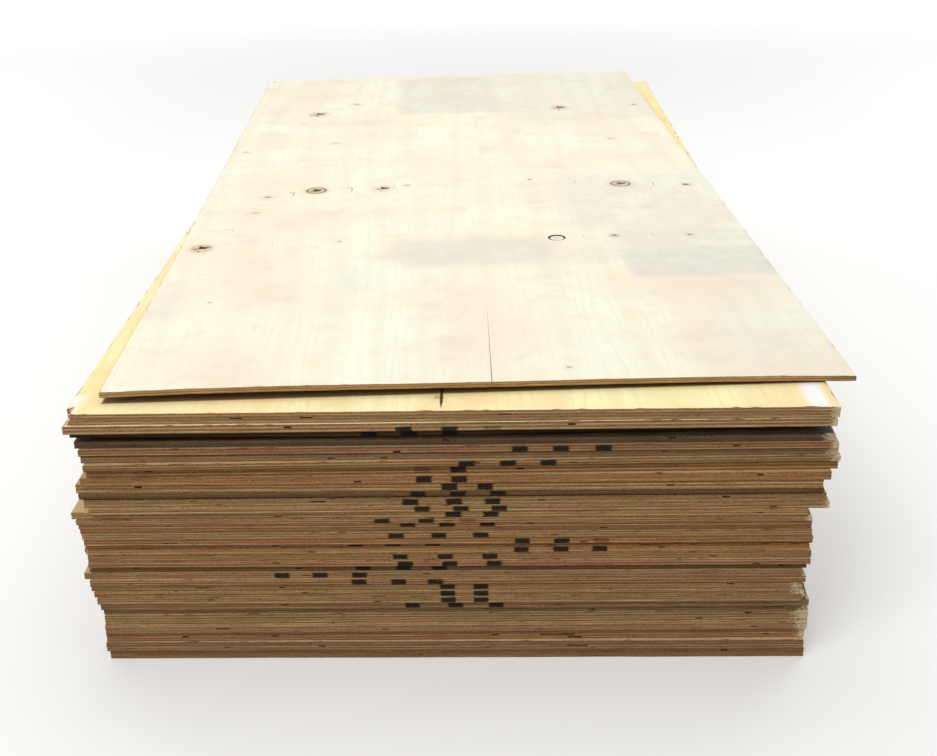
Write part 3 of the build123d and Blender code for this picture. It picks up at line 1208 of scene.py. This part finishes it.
def mottled(tree, place, fibres, blush, colour):
    """Dry fibres, warm blushes and faint clouds, laid over the grain"""
    dry = add(tree, "MapRange", fibres, 0.0, 1.0, 0.94, 1.05)
    colour = add(tree, "HueSaturation", {"Value": dry, "Color": colour})
    blotch = add(tree, "TexNoise", {"Vector": place, "Scale": 4.5, "Detail": 5.0, "Roughness": 0.6})
    colour = lay_over(tree, colour, blush, add(tree, "MapRange", blotch, 0.42, 0.66, 0.0, 0.85))
    cloudy = add(tree, "TexNoise", {"Vector": place, "Scale": 9.0, "Detail": 4.0, "Roughness": 0.65})
    tone = fill_ramp(add(tree, "ValToRGB", cloudy), [(0.34, "#FFF4EA"), (0.5, "#FFFDF7"), (0.66, "#FAF9F1")])
    return add(tree, "MixRGB", 1.0, colour, tone, blend_type="MULTIPLY")


# %% [markdown]
# Grain bends round a knot. Here it does because the place that it is drawn at is pushed away from the
# middle of the nearest knot, the more so the nearer it lies. The knot itself is a pale halo, for some
# a ring, and a dark heart with a torn rim.

# %% Knots in the grain
def read_knot(tree):
    """The way from the nearest knot's middle, its radius, and the three numbers for its look"""
    look = add(tree, "Attribute", attribute_name="knot_look").outputs["Vector"]
    look = add(tree, "SeparateXYZ", look).outputs
    return {
        "way": add(tree, "Attribute", attribute_name="from_knot").outputs["Vector"],
        "radius": add(tree, "Attribute", attribute_name="knot_radius").outputs["Fac"],
        "dark": look["X"], "ring": look["Y"], "ragged": look["Z"],
    }


def in_radii(tree, knot, way):
    """The length of a way from a knot's middle, counted in its radius"""
    far = add(tree, "VectorMath LENGTH", way).outputs["Value"]
    return add(tree, "Math DIVIDE", far, knot["radius"])


def bend_round(tree, knot, place):
    """The place at which grain is drawn, pushed away from the knot"""
    flat_way = add(tree, "VectorMath MULTIPLY", knot["way"], (1.0, 0.45, 0.0))
    off = in_radii(tree, knot, flat_way)
    squared = add(tree, "Math MULTIPLY_ADD", off, off, 0.6)
    push = add(tree, "Math DIVIDE", -1.1, squared)
    bend = add(tree, "VectorMath SCALE", {0: knot["way"], "Scale": push})
    return add(tree, "VectorMath ADD", place, bend)


def draw_knots(tree, knot, colour):
    """Halo, ring and heart, one over the other"""
    rough = add(tree, "TexNoise", {"Vector": knot["way"], "Scale": 55.0, "Detail": 2.0})
    rag = add(tree, "MapRange", rough, 0.3, 0.7, -0.75, 0.75)
    torn_rim = add(tree, "Math MULTIPLY", rag, knot["ragged"])
    off = in_radii(tree, knot, knot["way"])
    halo = add(tree, "MapRange", off, 0.6, 1.7, 0.55, 0.0)
    ring = add(tree, "MapRange", off_by(tree, off, 0.86), 0.05, 0.2, 0.85, 0.0)
    rough_off = add(tree, "Math ADD", off, torn_rim)
    heart = add(tree, "MapRange", rough_off, 0.28, 0.62, 1.0, 0.0)
    colour = lay_over(tree, colour, "#D9B98C", halo, knot["dark"])
    colour = lay_over(tree, colour, "#6E5138", ring, knot["ring"])
    return lay_over(tree, colour, "#33241A", heart, knot["dark"])


# %% [markdown]
# Two more layers: the stored stains, uneven with grime, and the deep shade between two sheets, which
# begins a few millimetres inside the outline of the sheet above. An underside has a height of zero
# veneers, so it counts as open.

# %% Stains and shade
shade_comes_within = 4 * MM


def weathered(tree, place, stain, colour):
    """A stain, broken up by noise"""
    stained = add(tree, "Attribute", attribute_name="stained").outputs["Fac"]
    grimy = add(tree, "TexNoise", {"Vector": place, "Scale": 26.0, "Detail": 4.0})
    return lay_over(tree, colour, stain, stained, add(tree, "MapRange", grimy, 0.3, 0.7, 0.6, 1.2))


def shaded_between_sheets(tree, colour):
    """Painted shade wherever the next sheet up lies over the face"""
    above = add(tree, "Attribute", attribute_name="above").outputs["Vector"]
    layer = add(tree, "Attribute", attribute_name="layer").outputs["Fac"]
    half_sheet = (top_sheet["width"] / 2, top_sheet["length"] / 2, 0.0)
    off_middle = add(tree, "VectorMath ABSOLUTE", above)
    room = add(tree, "VectorMath SUBTRACT", half_sheet, off_middle)
    room = add(tree, "SeparateXYZ", room).outputs
    covered = add(tree, "Math MINIMUM", room["X"], room["Y"])
    covered = add(tree, "Math MINIMUM", covered, layer)
    hidden = add(tree, "MapRange", covered, 0.0, shade_comes_within, 0.0, 0.88)
    return lay_over(tree, colour, "#57321A", hidden)


# %% [markdown]
# All the faces are one recipe with other colours: the palest wood, the middle tone, the late wood's
# lines and the blush, and for the two faces that show, the colour of their stains as well.

# %% Rotary-cut softwood veneer
def veneer_face(name, palest, middle, line, blush, stain=None, contrast=0.30):
    """Peeled softwood veneer, sanded once, dry"""
    material, tree = start_material(name)
    board = add(tree, "Attribute", attribute_name="board").outputs["Vector"]
    number = add(tree, "Attribute", attribute_name="sheet_number").outputs["Fac"]
    place = add(tree, "VectorMath ADD", board, add(tree, "CombineXYZ", number, number))
    if stain:
        knot = read_knot(tree)
        place = bend_round(tree, knot, place)
    drawn_out = add(tree, "Mapping", {0: place, "Scale": fibres_drawn_out})
    fibres = add(tree, "TexNoise", {"Vector": drawn_out, "Scale": 420.0, "Detail": 2.0})
    colour = peeled_grain(tree, place, palest, middle, line, contrast)
    colour = mottled(tree, place, fibres, blush, colour)
    if stain:
        colour = weathered(tree, place, stain, colour)
        colour = draw_knots(tree, knot, colour)
    colour = shaded_between_sheets(tree, colour)
    finish_wood(tree, colour, fibres, strength=0.35, height=0.3 * MM, roughness=0.72, gloss=0.3)
    return material


faces_by_slot = {
    "pale_face_plywood": veneer_face(
        "pale sanded pine veneer", "#F8FBEC", "#F6F6E2", "#DDC8A0", "#F5E4D2", "#D9D8CF", contrast=0.14),
    "bright_pine_plywood": veneer_face(
        "bright yellow pine veneer", "#FFFFD8", "#FFF6B6", "#E8B870", "#FCDEA6", "#FDFAF6", contrast=0.20),
    "dull_plywood": veneer_face("dull weathered veneer", "#B7A58C", "#A08B70", "#7E684F", "#A99A88"),
    "softwood_plywood": veneer_face("plain pine veneer", "#DCC398", "#CFAF7E", "#A97F50", "#D8B88C"),
}
# painted shade: a dark face for the sheet under the sprung one, whose front strip lies in shade
painted_shade_face = veneer_face("grimy veneer", "#6A6158", "#5C534A", "#4A4138", "#645A50")
print(len(faces_by_slot) + 1, "kinds of face,", sorted(faces_by_slot))

# %% [markdown]
# ## Put the finishes on
# A sheet has two finishes, one on its edges and one on its two faces. The face of the sheet under the
# sprung one is painted dark, as the shade under the sheets above it. Each dressed sheet then rides on the
# model's one body and stands for its slab.

# %% Put the finishes on
under_sprung = sprung_number - 1
flat_enough = 0.8         # how much of up a flat face's normal has in it, at least
slot_of_node = {part["node"]: part["material_slot"] for part in frame["record"]["subparts"]}
print("slots", sorted(set(slot_of_node.values())))


def finish_sheet(sheet, piece):
    """Two finishes to a sheet: its edges, and its two faces"""
    slot = slot_of_node[sheet["name"]]
    piece.data.materials.append(plain_edge)
    piece.data.materials.append(painted_shade_face if sheet["number"] == under_sprung else faces_by_slot[slot])
    layer = piece.data.attributes["layer"].data
    count = veneers_in(sheet["thickness"])
    for face in piece.data.polygons:
        heights = [layer[index].value for index in face.vertices]
        outer = max(heights) < 0.001 or min(heights) > count - 0.2 * (face.normal.z > flat_enough)
        face.material_index = int(outer and abs(face.normal.z) > flat_enough)
    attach(piece, "root")
    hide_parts(sheet["name"])


for sheet in sheets:
    finish_sheet(sheet, pieces[sheet["number"]])

# %% [markdown]
# ## Floor, light and camera
# The floor is plain and pale where the camera sees it. For the light that bounces off it, it is a mid
# grey, so that it doesn't flood the front of the pile. One broad soft lamp hangs overhead, one stands
# high in front, and two weak ones behind keep the long sides and the back from going black.

# %% The studio
nothing_selected()
bpy.ops.mesh.primitive_plane_add(size=60)
floor = bpy.context.active_object
floor.name = "studio_floor"
floor_finish, tree = start_material("pale studio floor")
seen = add(tree, "LightPath").outputs["Is Camera Ray"]
place = add(tree, "TexCoord").outputs["Object"]
distance = add(tree, "VectorMath LENGTH", place).outputs["Value"]
fade = add(tree, "MapRange", distance, 2.0, 7.0, interpolation_type="SMOOTHSTEP")
near = add(tree, "MixRGB", fade, linear("#E6E6E4"), linear("#000000"))
shade = add(tree, "MixRGB", seen, linear("#9A9A98"), near)
glow = add(tree, "Math MULTIPLY", seen, add(tree, "MapRange", fade, 0.0, 1.0, 0.26, 1.0))
shader = tree.nodes["Principled BSDF"]
tree.links.new(shade.outputs[0], shader.inputs["Base Color"])
tree.links.new(glow.outputs[0], shader.inputs["Emission Strength"])
shader.inputs["Emission Color"].default_value = (1, 1, 1, 1)
shader.inputs["Roughness"].default_value = 0.9
floor.data.materials.append(floor_finish)

# %% [markdown]
# The air is white. It is bright where the camera or a reflection sees it, and dimmer as a light.

# %% Air and lamps
world = bpy.data.worlds.new("studio air")
bpy.context.scene.world = world
world.use_nodes = True
tree = world.node_tree
path = add(tree, "LightPath").outputs
seen = add(tree, "Math MAXIMUM", path["Is Camera Ray"], path["Is Glossy Ray"])
strength = add(tree, "Mix", {0: seen, 2: 0.36, 3: 1.0})
tree.links.new(strength.outputs[0], tree.nodes["Background"].inputs["Strength"])
tree.nodes["Background"].inputs["Color"].default_value = (1, 1, 1, 1)


def soft_lamp(name, size, power, place, target):
    """A square soft box that looks at a point"""
    data = bpy.data.lights.new(name, "AREA")
    data.size = size
    data.energy = power
    lamp = bpy.data.objects.new(name, data)
    bpy.context.scene.collection.objects.link(lamp)
    lamp.location = place
    lamp.rotation_mode = "QUATERNION"
    lamp.rotation_quaternion = (Vector(target) - Vector(place)).to_track_quat("-Z", "Y")
    print(name, power, "W at", place)


soft_lamp("overhead soft box", 3.4, 60, (0.2, 0.6, 3.6), (0, 0.2, 0.5))
soft_lamp("high front soft box", 2.4, 80, (-1.5, -3.3, 3.9), (0, -0.9, 0.3))
soft_lamp("left side fill", 2.6, 40, (-3.8, 3.0, 2.0), (0, 0.3, 0.2))
soft_lamp("right side fill", 2.6, 40, (3.8, 3.0, 2.0), (0, 0.3, 0.2))

# %% [markdown]
# The camera stands where the picture was taken from. Its place, turn and focal length follow from
# where the corners of the top sheet and of the front lie in it.

# %% The camera
photo_width = 937
focal_length_in_pixels = 1203.7
camera_place = (0.0639, -2.9142, 1.355)
camera_pitch_down = math.radians(25.484)
camera_yaw_right = math.radians(-0.977)
camera_roll = math.radians(-0.985)

camera_data = bpy.data.cameras.new("camera")
camera_data.sensor_width = 36
camera_data.lens = focal_length_in_pixels / photo_width * camera_data.sensor_width
camera = bpy.data.objects.new("camera", camera_data)
bpy.context.scene.collection.objects.link(camera)
aim = Matrix.Rotation(-camera_yaw_right, 4, "Z") @ Matrix.Rotation(math.pi / 2 - camera_pitch_down, 4, "X")
camera.matrix_world = Matrix.Translation(camera_place) @ aim @ Matrix.Rotation(camera_roll, 4, "Z")
bpy.context.scene.camera = camera
bpy.context.scene.view_settings.view_transform = "Standard"
print("lens", round(camera_data.lens, 1), "mm, camera", camera_place[2], "m above the floor")
